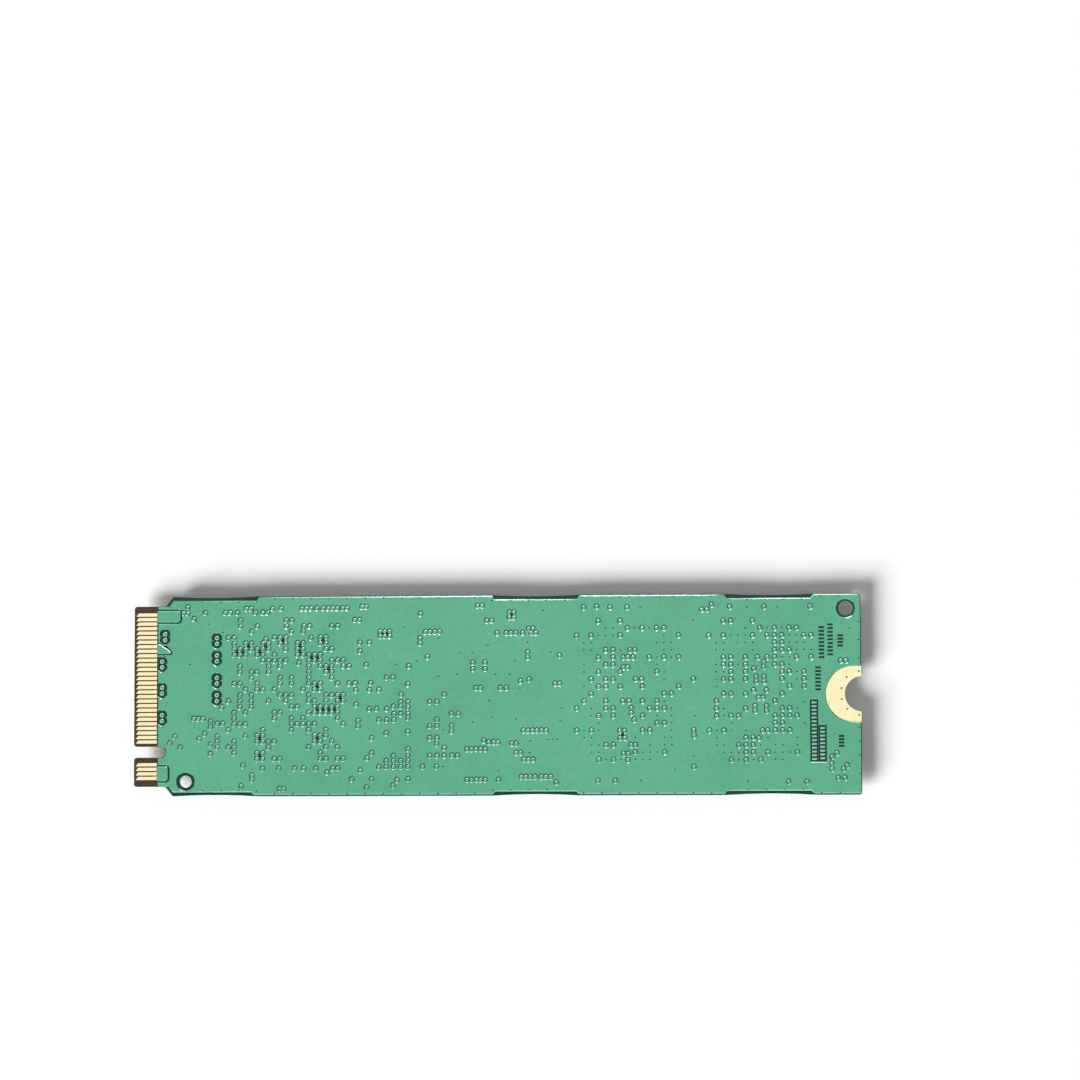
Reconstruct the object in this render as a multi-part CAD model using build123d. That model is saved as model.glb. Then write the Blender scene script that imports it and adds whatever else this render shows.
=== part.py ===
from build123d import *
import os

# Plug-in storage card with every chip on one side, in millimetres.
# +X runs from the contact edge to the screw end, and +Z points out of the bare side.
# The card lies on its chips: z = 0 is the surface under them, x = y = 0 is the card's middle.

# Card and its layers
card_length = 80.0
card_width = 22.0
card_thickness = 0.8
foil_thickness = 0.04
copper_margin = 0.06
end_corner_radius = 0.3

# Contact tab: slanted shoulders, rounded corners and a milled lead-in bevel
shoulder_step = 1.075
shoulder_start = 3.5
shoulder_run = 0.85
shoulder_radius = 0.4
shoulder_pull_back_length = 0.34
tab_corner_radius = 0.35
bevel_length = 0.2
bevel_depth = 0.16

# Key slot in the tab
key_width = 1.2
key_depth = 3.5
key_to_tab_side = 3.8
key_contact_clearance = 1.0

# Edge contacts
contact_pitch = 0.5
contact_width = 0.37
contact_setback = 0.22
contact_tip_slant = 0.27
contact_length = 2.33
bare_contact_inset = 0.925
chip_contact_inset = 0.675
contact_to_copper = 0.1
contact_strip_width = 0.12

# Screw notch, with a gold pad round it on both sides
notch_radius = 1.95
notch_centre_beyond_end = 0.15
pad_radius = 3.05
pad_centre_setback = 0.84

# Tooling holes, one in each of two opposite corners
tooling_tab_radius = 0.68
tooling_end_radius = 0.8
tooling_clear_radius = 1.0
tooling_edge_inset = 1.63
tooling_tab_setback = 5.74
tooling_end_setback = 1.65

# Long edges where the card was held in its panel: shallow scallops with the copper pulled back
scallop_depth = 0.16
pull_back_depth = 0.45
pull_back_slant = 0.28
scallop_length = 9.6
tab_scallop_setback = 8.9
middle_scallop_offset = 4.4
end_scallop_setback = 9.9

# Copper islands behind the contacts on the bare side
island_gap = 0.15
island_radius = 0.3
main_island_length = 2.6
main_island_overhang = 0.44
corner_island_length = 1.5
corner_island_nose = 0.25
corner_island_overhang = 0.3
corner_island_contacts = (7, 8)
tab_island_length = 1.25

# Paired vias of the data lanes, each pair in one figure-of-eight clearance;
# the drops are measured from the tab's side away from the key
lane_land_radius = 0.225
lane_clearance_radius = 0.53
lane_pair_spacing = 0.64
lane_column_setbacks = (3.42, 3.1, 3.1, 3.1)
lane_column_drops = (3.375, 6.395, 9.285, 12.295)
inner_lane_column_setback = 9.17
inner_lane_column_drops = (3.825, 5.745, 8.215, 10.125)

# Bare windows etched in the copper near the screw end
window_width = 0.83
window_gap = 0.08
long_window_length = 6.8
short_window_length = 4.0
window_end_setback = 3.85
window_corner_offset = 7.4

# Ball-grid packages: a moulded cap on a substrate that stands on solder balls
tall_package_height = 1.4
dram_height = 1.1
ball_height = 0.25
substrate_thickness = 0.25
ball_radius = 0.22
ball_inset = 0.95
ball_pitch = 1.0
controller_length = 12.0
controller_width = 13.5
dram_length = 10.0
dram_width = 11.5
nand_length = 11.5
nand_width = 13.5
mark_radius = 0.45
mark_depth = 0.06
mark_inset = 1.1

# How the length that the packages leave free is shared, from the tab to the screw pad
free_length_shares = (6.9, 3.8, 1.0, 0.7, 2.4, 0.5)

# Flat leadless chips: the power chip and the load switch
lead_thickness = 0.05
lead_length = 0.42
lead_width = 0.24
lead_toe = 0.08
power_chip_size = 4.0
power_chip_height = 0.8
power_lead_pitch = 0.65
switch_size = 2.0
switch_height = 0.65
switch_lead_pitch = 0.65

# Power inductors
inductor_length = 2.5
inductor_width = 2.0
inductor_height = 1.2
inductor_terminal = 0.6
inductor_row_gap = 2.2
power_gap = 0.75

# Timing crystal
crystal_length = 2.5
crystal_width = 2.0
crystal_base_height = 0.4
crystal_lid_height = 0.2
crystal_lid_inset = 0.12
crystal_pad_length = 0.7
crystal_pad_width = 0.6

# Two-terminal parts: length, width, height and terminal length
bulk_capacitor = (2.0, 1.25, 1.0, 0.4)
small_capacitor = (1.0, 0.5, 0.5, 0.25)
resistor = (1.0, 0.5, 0.35, 0.2)
terminal_lip = 0.02
part_clearance = 0.5
small_part_pitch = 1.5
edge_row_pitch = 3.1

# Places that follow from the sizes above
contact_edge = -card_length / 2
screw_edge = card_length / 2
card_side = card_width / 2
tab_side = card_side - shoulder_step
lane_column_rows = [tab_side - drop for drop in lane_column_drops]
inner_lane_column_rows = [tab_side - drop for drop in inner_lane_column_drops]
key_y = key_to_tab_side - tab_side
chip_face = tall_package_height
laminate_base = chip_face + foil_thickness
laminate_thickness = card_thickness - 2 * foil_thickness
laminate_top = laminate_base + laminate_thickness
shoulder_end = contact_edge + shoulder_start + shoulder_run
contact_end = contact_edge + contact_setback + contact_length
copper_start = contact_end + contact_to_copper
pad_reach = pad_centre_setback + pad_radius
power_length = power_chip_size + inductor_length + bulk_capacitor[0] + 4 * power_gap
free_length = (screw_edge - pad_reach - shoulder_end - controller_length - dram_length
               - power_length - 2 * nand_length)
gaps = [free_length * share / sum(free_length_shares) for share in free_length_shares]
controller_x = shoulder_end + gaps[0] + controller_length / 2
dram_x = controller_x + controller_length / 2 + gaps[1] + dram_length / 2
power_start = dram_x + dram_length / 2 + gaps[2]
nand_1_x = power_start + power_length + gaps[3] + nand_length / 2
nand_2_x = nand_1_x + nand_length + gaps[4]
tooling_places = [
    (contact_edge + tooling_tab_setback, tooling_edge_inset - card_side, tooling_tab_radius),
    (screw_edge - tooling_end_setback, card_side - tooling_edge_inset, tooling_end_radius),
]
scallop_middles = [
    contact_edge + tab_scallop_setback,
    middle_scallop_offset,
    screw_edge - end_scallop_setback,
]


def stations(first, last, pitch):
    """Evenly spaced places between two limits, centred on their middle."""
    count = int((last - first) / pitch + 1e-6) + 1
    start = (first + last - (count - 1) * pitch) / 2
    return [start + i * pitch for i in range(count)]


def group(solids):
    """One node made of separate solids."""
    return Compound(children=[s.solid() for s in solids])


def plate(face, base, thickness):
    """A flat face made into a plate that stands on the height given."""
    return extrude(Pos(0, 0, base) * face, thickness)


def rectangle(x0, x1, y0, y1):
    return Pos((x0 + x1) / 2, (y0 + y1) / 2) * Rectangle(x1 - x0, y1 - y0)


def block(x, y, top, length, width, height):
    """A box under the height given."""
    return Pos(x, y, top - height / 2) * Box(length, width, height)


def card_face():
    """The card's outline: tab, key slot, shoulders, screw notch and edge scallops."""
    key_low = key_y - key_width / 2
    key_high = key_y + key_width / 2
    key_end = contact_edge + key_depth
    key_round = 0.49 * key_width
    shoulder_x = contact_edge + shoulder_start
    corners = [
        ((contact_edge, -tab_side), tab_corner_radius),
        ((shoulder_x, -tab_side), shoulder_radius),
        ((shoulder_end, -card_side), shoulder_radius),
        ((screw_edge, -card_side), end_corner_radius),
        ((screw_edge, card_side), end_corner_radius),
        ((shoulder_end, card_side), shoulder_radius),
        ((shoulder_x, tab_side), shoulder_radius),
        ((contact_edge, tab_side), tab_corner_radius),
        ((contact_edge, key_high), tab_corner_radius),
        ((key_end, key_high), key_round),
        ((key_end, key_low), key_round),
        ((contact_edge, key_low), tab_corner_radius),
    ]
    points = [point for point, radius in corners]
    radii = [radius for point, radius in corners]
    face = make_face(FilletPolyline(points, radius=radii, close=True))
    face -= Pos(screw_edge + notch_centre_beyond_end, 0) * Circle(notch_radius)
    scallop_radius = (scallop_length ** 2 / 4 + scallop_depth ** 2) / (2 * scallop_depth)
    for x in scallop_middles:
        for side in (-1, 1):
            y = side * (card_side - scallop_depth + scallop_radius)
            face -= Pos(x, y) * Circle(scallop_radius)
    return face


def pad_face():
    """The gold pad: a half disc round the screw notch, run on to the end edge."""
    centre = screw_edge - pad_centre_setback
    disc = Pos(centre, 0) * Circle(pad_radius)
    return (disc + rectangle(centre, screw_edge, -pad_radius, pad_radius)) & card_face()


def pull_back(x, side):
    """The strip along a long edge where the copper keeps further from the scallop."""
    half = scallop_length / 2
    inner = side * (card_side - pull_back_depth)
    outer = side * (card_side + pull_back_depth)
    return make_face(Polyline(
        (x - half - pull_back_slant, outer),
        (x - half, inner),
        (x + half, inner),
        (x + half + pull_back_slant, outer),
        close=True,
    ))


def shoulder_pull_back(side):
    """The strip along a slanted shoulder where the copper keeps further from the edge."""
    shoulder_x = contact_edge + shoulder_start
    return make_face(Polyline(
        (shoulder_x, side * tab_side),
        (shoulder_x + shoulder_pull_back_length, side * tab_side),
        (shoulder_end + shoulder_pull_back_length, side * card_side),
        (shoulder_end, side * card_side),
        close=True,
    ))


def copper_face():
    """Copper field common to both sides, clear of contacts, holes, scallops and the pad."""
    face = offset(card_face(), amount=-copper_margin)
    face -= rectangle(contact_edge, copper_start, -card_side, card_side)
    for side in (-1, 1):
        for x in scallop_middles:
            face -= pull_back(x, side)
        face -= shoulder_pull_back(side)
    for x, y, radius in tooling_places:
        face -= Pos(x, y) * Circle(tooling_clear_radius)
    return face - pad_face()


def lane_pairs():
    """Middles of the via pairs of the data lanes."""
    outer = [(contact_edge + x, y) for x, y in zip(lane_column_setbacks, lane_column_rows)]
    inner = [(contact_edge + inner_lane_column_setback, y) for y in inner_lane_column_rows]
    return outer + inner


def lane_vias(radius):
    """One eight-sided disc of the radius given on every lane via."""
    offsets = (-lane_pair_spacing / 2, lane_pair_spacing / 2)
    disc = RegularPolygon(radius, 8, rotation=22.5)
    return [Pos(x, y + dy) * disc for x, y in lane_pairs() for dy in offsets]


def windows():
    """Two bare bars etched in the copper beside each other near the screw end."""
    x = screw_edge - window_end_setback
    inner_x = x - window_width - window_gap
    low = -window_corner_offset
    return [
        rectangle(x - window_width, x, low, low + short_window_length),
        rectangle(inner_x - window_width, inner_x, low, low + long_window_length),
    ]


def contact_rows(inset):
    """Middles of the contacts on one side, without those that the key slot takes away."""
    rows = stations(inset - tab_side, tab_side - inset, contact_pitch)
    return [y for y in reversed(rows) if abs(y - key_y) > key_contact_clearance]


def contact(y):
    """Outline of one contact, with its slanted tip towards the edge."""
    tip = contact_edge + contact_setback
    half = contact_width / 2
    return make_face(Polyline(
        (tip, y - half),
        (contact_end, y - half),
        (contact_end, y + half),
        (tip + contact_tip_slant, y + half),
        close=True,
    ))


def islands():
    """Outlines of the copper islands that feed contacts on the bare side."""
    rows = contact_rows(bare_contact_inset)
    half = contact_width / 2
    main = rectangle(contact_end, contact_end + main_island_length,
                     rows[1] - half - island_gap, rows[0] + main_island_overhang)
    tab = rectangle(contact_end, contact_end + tab_island_length,
                    rows[-1] - half - corner_island_nose / 2, rows[-3] + half + corner_island_nose / 2)
    corner_low = rows[corner_island_contacts[1]] - corner_island_overhang
    corner_high = rows[corner_island_contacts[0]] + corner_island_overhang
    corner = make_face(Polyline(
        (contact_end, corner_low),
        (contact_end + corner_island_length, corner_low),
        (contact_end + corner_island_length, corner_low + corner_island_nose),
        (contact_end + island_radius, corner_high),
        (contact_end, corner_high),
        close=True,
    ))
    rounded = [fillet(face.vertices().group_by(Axis.X)[-1], island_radius) for face in (main, tab)]
    return rounded + [corner]


def circuit_board():
    """Laminate with its holes, bevelled along the contact edge on both sides."""
    face = card_face()
    for x, y, radius in tooling_places:
        face -= Pos(x, y) * Circle(radius)
    board = plate(face, laminate_base, laminate_thickness)
    for edge, inwards in ((laminate_base, 1), (laminate_top, -1)):
        wedge = make_face(Polyline(
            (contact_edge, edge),
            (contact_edge + bevel_length, edge),
            (contact_edge, edge + inwards * bevel_depth),
            close=True,
        ))
        board -= extrude(Plane.XZ * wedge, card_side, both=True)
    return board


def bare_side_ground_copper():
    """Copper field of the bare side, with a thin strip left between lane vias and contacts."""
    face = copper_face()
    for island in islands():
        face -= offset(island, amount=island_gap)
    behind_strip = rectangle(copper_start + contact_strip_width, screw_edge, -card_side, card_side)
    for clearance in lane_vias(lane_clearance_radius) + windows():
        face -= clearance & behind_strip
    return plate(face, laminate_top, foil_thickness)


def side_contacts(inset, base):
    return group([plate(contact(y), base, foil_thickness) for y in contact_rows(inset)])


def ball_ring(length, width):
    """Places of the outer row of balls, all round a package."""
    columns = stations(ball_inset - length / 2, length / 2 - ball_inset, ball_pitch)
    rows = stations(ball_inset - width / 2, width / 2 - ball_inset, ball_pitch)
    sides = [(x, y) for x in (columns[0], columns[-1]) for y in rows]
    ends = [(x, y) for x in columns[1:-1] for y in (rows[0], rows[-1])]
    return sides + ends


def package(name, x, length, width, height):
    """Cap with a corner mark, substrate and balls of a package under the chip side."""
    substrate_top = chip_face - ball_height
    cap_top = substrate_top - substrate_thickness
    low = chip_face - height
    cap = block(x, 0, cap_top, length, width, cap_top - low)
    mark = Pos(x + mark_inset - length / 2, width / 2 - mark_inset) * RegularPolygon(mark_radius, 16)
    cap -= plate(mark, low, mark_depth)
    ball = RegularPolygon(ball_radius, 6)
    return {
        name + "_cap": cap,
        name + "_substrate": block(x, 0, substrate_top, length, width, substrate_thickness),
        name + "_balls": group([plate(Pos(x + dx, dy) * ball, substrate_top, ball_height)
                                for dx, dy in ball_ring(length, width)]),
    }


def leadless_chip(name, x, y, size, height, pitch, all_round):
    """Flat chip on thin leads, along two sides or all round, with a pad under its middle."""
    reach = size / 2 - lead_length
    lead_x = size / 2 + lead_toe - lead_length / 2
    centre = size - 2 * lead_length - 2 * lead_width
    leads = [block(0, 0, 0, centre, centre, lead_thickness)]
    for turn in (0, 90, 180, 270) if all_round else (0, 180):
        for dy in stations(-reach, reach, pitch):
            lead = block(lead_x, dy, 0, lead_length, lead_width, lead_thickness)
            leads.append(Rot(0, 0, turn) * lead)
    place = Pos(x, y, chip_face)
    body = block(0, 0, -lead_thickness, size, size, height - lead_thickness)
    return {name + "_body": place * body, name + "_leads": group([place * lead for lead in leads])}


def two_terminal_parts(name, size, places):
    """A group of equal parts, each a body held between two end terminals."""
    length, width, height, terminal = size
    middle = length - 2 * terminal
    body = block(0, 0, -terminal_lip, middle, width - 2 * terminal_lip, height - 2 * terminal_lip)
    end = (length - terminal) / 2
    terminals = [block(dx, 0, 0, terminal, width, height) for dx in (-end, end)]
    spots = [Pos(x, y, chip_face) * Rot(0, 0, turn) for x, y, turn in places]
    return {
        name + "_bodies": group([spot * body for spot in spots]),
        name + "_terminals": group([spot * t for spot in spots for t in terminals]),
    }


def inductors(places):
    """Moulded power inductors, each on two flat terminals."""
    end = (inductor_length - inductor_terminal) / 2
    body = block(0, 0, -lead_thickness, inductor_length, inductor_width,
                 inductor_height - lead_thickness)
    terminals = [block(dx, 0, 0, inductor_terminal, inductor_width, lead_thickness)
                 for dx in (-end, end)]
    spots = [Pos(x, y, chip_face) for x, y in places]
    return {
        "inductor_bodies": group([spot * body for spot in spots]),
        "inductor_terminals": group([spot * t for spot in spots for t in terminals]),
    }


def crystal(x, y):
    """Timing crystal: a ceramic base on four pads, closed by a metal lid."""
    place = Pos(x, y, chip_face)
    pad_x = (crystal_length - crystal_pad_length) / 2
    pad_y = (crystal_width - crystal_pad_width) / 2
    pads = [block(sx * pad_x, sy * pad_y, 0, crystal_pad_length, crystal_pad_width, lead_thickness)
            for sx in (-1, 1) for sy in (-1, 1)]
    base = block(0, 0, -lead_thickness, crystal_length, crystal_width, crystal_base_height)
    lid = block(0, 0, -lead_thickness - crystal_base_height, crystal_length - 2 * crystal_lid_inset,
                crystal_width - 2 * crystal_lid_inset, crystal_lid_height)
    return {
        "crystal_base": place * base,
        "crystal_lid": place * lid,
        "crystal_pads": group([place * pad for pad in pads]),
    }


def edge_rows(x, length, width, pitch):
    """Places of parts that stand in a row along both long sides of a package."""
    reach = length / 2 - part_clearance
    y = width / 2 + part_clearance + small_capacitor[0] / 2
    return [(x + dx, side * y, 90) for side in (-1, 1) for dx in stations(-reach, reach, pitch)]


def gap_column(x, width, pitch):
    """Places of parts that stand in a column in the gap between two packages."""
    reach = width / 2 - part_clearance
    return [(x, y, 0) for y in stations(-reach, reach, pitch)]


def chip_side_parts():
    """Everything soldered under the card."""
    first_gap_x = controller_x + (controller_length + gaps[1]) / 2
    nand_gap_x = (nand_1_x + nand_2_x) / 2
    lane_part_x = shoulder_end + part_clearance + small_capacitor[0] / 2
    resistor_x = controller_x - controller_length / 2 - part_clearance - resistor[0] / 2
    corner_y = controller_width / 2 + part_clearance + crystal_width / 2
    power_chip_x = power_start + power_gap + power_chip_size / 2
    inductor_x = power_chip_x + power_chip_size / 2 + power_gap + inductor_length / 2
    bulk_x = inductor_x + inductor_length / 2 + power_gap + bulk_capacitor[0] / 2
    inductor_pitch = inductor_width + inductor_row_gap
    bulk_pitch = inductor_pitch / 2
    bulk_step = power_chip_size / 2 + part_clearance + bulk_capacitor[1] / 2
    lane_places = [(lane_part_x, y + dy, 0) for y in lane_column_rows
                   for dy in (-small_capacitor[1], small_capacitor[1])]
    small_places = (lane_places
                    + gap_column(first_gap_x, dram_width, small_part_pitch)
                    + gap_column(nand_gap_x, nand_width, small_part_pitch)
                    + edge_rows(controller_x, controller_length, controller_width, edge_row_pitch)
                    + edge_rows(nand_1_x, nand_length, nand_width, edge_row_pitch)
                    + edge_rows(nand_2_x, nand_length, nand_width, edge_row_pitch))
    bulk_places = [(bulk_x, (i - 1.5) * bulk_pitch, 0) for i in range(4)]
    bulk_places += [(power_chip_x, side * bulk_step, 0) for side in (-1, 1)]
    resistor_places = (gap_column(resistor_x, controller_width, small_part_pitch)
                       + edge_rows(dram_x, dram_length, dram_width, edge_row_pitch))
    parts = {}
    parts.update(package("controller", controller_x, controller_length, controller_width,
                         tall_package_height))
    parts.update(package("dram", dram_x, dram_length, dram_width, dram_height))
    for name, x in (("nand_1", nand_1_x), ("nand_2", nand_2_x)):
        parts.update(package(name, x, nand_length, nand_width, tall_package_height))
    parts.update(leadless_chip("power_chip", power_chip_x, 0, power_chip_size, power_chip_height,
                               power_lead_pitch, True))
    parts.update(leadless_chip("load_switch", resistor_x, corner_y, switch_size, switch_height,
                               switch_lead_pitch, False))
    parts.update(inductors([(inductor_x, (i - 1) * inductor_pitch) for i in range(3)]))
    parts.update(crystal(first_gap_x, corner_y))
    parts.update(two_terminal_parts("bulk_capacitor", bulk_capacitor, bulk_places))
    parts.update(two_terminal_parts("small_capacitor", small_capacitor, small_places))
    parts.update(two_terminal_parts("resistor", resistor, resistor_places))
    return parts


def nodes():
    """Every piece of the card by name."""
    pieces = {
        "circuit_board": circuit_board(),
        "bare_side_ground_copper": bare_side_ground_copper(),
        "bare_side_supply_copper": group([plate(f, laminate_top, foil_thickness) for f in islands()]),
        "lane_via_lands": group([plate(f, laminate_top, foil_thickness)
                                 for f in lane_vias(lane_land_radius)]),
        "bare_side_contacts": side_contacts(bare_contact_inset, laminate_top),
        "bare_side_screw_pad": plate(pad_face(), laminate_top, foil_thickness),
        "chip_side_ground_copper": plate(copper_face(), chip_face, foil_thickness),
        "chip_side_contacts": side_contacts(chip_contact_inset, chip_face),
        "chip_side_screw_pad": plate(pad_face(), chip_face, foil_thickness),
    }
    pieces.update(chip_side_parts())
    return pieces


os.makedirs("parts", exist_ok=True)
for node, shape in nodes().items():
    export_step(shape, os.path.join("parts", node + ".step"))
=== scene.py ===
import math

import bmesh
import bpy
from mathutils import Matrix, Vector


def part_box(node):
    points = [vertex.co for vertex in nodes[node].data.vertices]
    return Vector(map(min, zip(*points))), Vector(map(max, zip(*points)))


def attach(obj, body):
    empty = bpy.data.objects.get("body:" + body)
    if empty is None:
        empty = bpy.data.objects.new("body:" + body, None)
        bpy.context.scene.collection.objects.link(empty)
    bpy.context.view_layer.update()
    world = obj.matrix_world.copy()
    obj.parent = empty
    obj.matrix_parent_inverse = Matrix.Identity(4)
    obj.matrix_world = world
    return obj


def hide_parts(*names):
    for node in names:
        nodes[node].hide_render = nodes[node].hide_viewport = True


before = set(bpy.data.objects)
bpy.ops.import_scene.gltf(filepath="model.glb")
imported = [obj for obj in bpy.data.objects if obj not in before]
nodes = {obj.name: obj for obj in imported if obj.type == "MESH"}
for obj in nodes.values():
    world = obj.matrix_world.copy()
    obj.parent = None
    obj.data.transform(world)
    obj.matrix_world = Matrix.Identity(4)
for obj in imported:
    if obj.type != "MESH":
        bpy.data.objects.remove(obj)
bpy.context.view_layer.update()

# Lengths are in millimetres until a piece is finished. Places along the card are measured from
# its contact edge, and places across it from its middle.
MM = 0.001


def node_box(node):
    """Lowest and highest corner of a CAD node in millimetres."""
    low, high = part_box(node)
    return low / MM, high / MM


board_low, board_high = node_box("circuit_board")
pour_low, pour_high = node_box("bare_side_ground_copper")
under_low, under_high = node_box("chip_side_ground_copper")
CONTACT_EDGE = board_low.x
CONTACT_END = node_box("bare_side_contacts")[1].x
LAMINATE_TOP = pour_low.z
FOIL_TOP = pour_high.z
LAMINATE_BASE = under_high.z
FOIL_BASE = under_low.z
FOIL = FOIL_TOP - LAMINATE_TOP
LONG_EDGE = board_high.y

# Vias: a copper land in a ring-shaped clearance whose etched walls lean. A land's profile gives
# radii and shares of the copper's height, and painted shade lies on its low side outside the
# radius given
CLEARANCE_TOP_RADIUS = 0.38
CLEARANCE_FLOOR_RADIUS = 0.25
CLEARANCE_WIDTH_SHARE = 0.87
LAND_PROFILE = ((0.205, 0.0), (0.15, 0.45), (0.092, 0.93), (0.06, 0.95), (0.0, 0.25))
LAND_SHADED_FROM = 0.15
LAND_UNSHADED = 1.0
LAND_SUNK_SHARE = 0.7
LANE_TOP_RADIUS = 0.6
LANE_FLOOR_RADIUS = 0.5
LANE_LAND_PROFILE = ((0.25, 0.0), (0.15, 0.93), (0.085, 0.95), (0.0, 0.2))
LANE_PAIR_HALF = 0.32
VIA_SIDES = 12
LANE_SIDES = 20

# Stars: bare spots between four vias, told by the length of the diagonal between two of them
STAR_RADIUS = 0.23
STAR_LEAN = 0.03
STAR_DIAGONAL_LEAST = 0.65
STAR_DIAGONAL_MOST = 0.95
STAR_REACH = 0.5
STAR_APART = 0.1
STAR_VIAS = 4

# Small closed vias, sunk a share of the copper's height
DOT_TOP_RADIUS = 0.147
DOT_FLOOR_RADIUS = 0.0315
DOT_DEPTH_SHARE = 0.6
SMALL_SIDES = 8

# Etched walls of the copper: how far they lean along the card, across it and at its long edges,
# bands along the low edge that get a painted highlight and a painted dark line, and the depth from
# which a wall that faces the lamp keeps the even shade instead of painted shade
LEAN_ALONG = 0.03
LEAN_ACROSS = 0.13
RIM_LEAN = 0.13
LOW_RIM_LEAN = 0.08
PAD_LEAN = 0.015
RIM_REACH = 1.0
HIGHLIGHT_BAND = 0.28
LOW_RIM_BAND = 0.2
LOW_STRIP_BAND = 0.8
LIT_DEPTH_SHARE = 0.4
CUT_MARGIN = 0.02

# Ends of the strips where the copper keeps back from the long edges: where each end stands, and
# where its outer and inner corners lie on the low and on the far long edge, all along the card;
# then how far in the strips reach, what parts outer from inner corners, and how near its end a
# corner lies
KEEP_BACK_ENDS = (
    (13.76, (13.38, 13.06), (13.91, 13.55)),
    (39.54, (39.6, 39.9), (39.63, 39.85)),
    (49.26, (49.13, 48.77), (49.21, 48.96)),
    (65.24, (65.05, 65.3), (65.07, 65.37)),
    (74.96, (74.87, 74.48), (74.87, 74.57)),
)
KEEP_BACK_REACH = 0.6
KEEP_BACK_MIDDLE = 0.25
KEEP_BACK_END_REACH = 0.12

# Limits that tell faces apart by the upright part of their normal, or by its part across the card
LEVEL_FACE = 0.998
FLAT_FACE = 0.999
STEEP_FACE = 0.9
UPRIGHT_FACE = 0.3
ACROSS_FACE = 0.9
LOW_SIDE_FACE = 0.5
LOW_STRIP_FACE = -0.1
LIT_FACE = 0.15
LAND_LOW_SIDE = 0.05

# Limits within which two walls are one, a corner is straight and a height is the same
SAME_WALL = 0.05
STRAIGHT_TURN = 0.15
HEIGHT_TOLERANCE = 1e-3

# Via fields under the packages: first place along, first place across, pitch, and for each row
# from the top the columns that have a via
CONTROLLER_FIELD = (11.1, 6.45, 0.635, (
    (-1, 0, 7, 8, 9, 15, 16),
    (0, 2, 3, 5, 6, 8, 9, 11, 12, 15, 16),
    (0, 1, 2, 3, 4, 5, 6, 9, 11, 12, 16, 17),
    (0, 1, 2, 4, 5, 7, 11, 12, 13, 14, 15),
    (5, 6, 7, 8, 9, 13, 14, 15, 17, 18, 19),
    (1, 6, 8, 13, 15, 16, 17, 19, 20),
    (1, 3, 4, 6, 13, 16, 17),
    (3, 8, 10, 13, 17),
    (0, 1, 4, 8, 10, 13, 14, 15, 18, 20, 21),
    (2, 4, 5, 7, 12, 14, 15),
    (1, 3, 8, 9, 10, 13, 16, 17, 18, 19),
    (-1, 1, 3, 6, 9, 13, 14, 16, 18, 19),
    (1, 3, 10, 11, 14, 15, 16, 17, 18),
    (0, 2, 7, 8, 13, 14, 15, 16, 17, 18),
    (0, 7, 10, 12, 18),
    (0, 1, 2, 10, 11, 12, 13, 14, 19),
    (-1, 5, 10, 13, 16),
    (2, 4, 5, 14, 15, 16),
    (0, 4, 5, 6, 7, 14, 15, 17),
    (-1, 0, 6, 13, 16, 18),
    (0, 4, 5, 15),
    (4, 5, 7, 8, 15, 16, 18, 19),
))
NAND_1_FIELD = (48.87, 8.1, 0.8, (
    (3, 6), (7, 9, 11, 12), (0, 2, 6, 14), (), (4, 5), (3, 5, 10, 12, 14), (4, 5), (3, 6, 11),
    (2, 4, 5, 16), (3, 4, 6, 9, 14), (2, 12, 13), (1, 4, 9, 11), (0, 4, 5, 10, 11, 12),
    (3, 5, 9), (11, 12), (0, 2, 9, 10, 16), (), (4, 5), (12,), (3, 5), (16,),
))
NAND_2_FIELD = (61.78, 8.05, 0.8, (
    (4, 5, 8), (9, 11, 13, 14), (2, 4, 8, 10, 11, 12, 15, 16), (11, 12), (11, 12, 13),
    (4, 5, 7, 11, 14, 16), (4, 5, 7, 11, 12), (5, 7, 12, 13, 15), (4, 5, 7, 12, 15), (13, 15),
    (4, 5, 7, 12), (3, 11), (3, 7, 12, 13), (3, 5, 6, 11, 12, 13, 14), (11, 12),
    (2, 4, 11, 12, 13), (7, 8), (6, 7, 8), (7, 8, 10, 14), (5, 7, 9),
))

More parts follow.
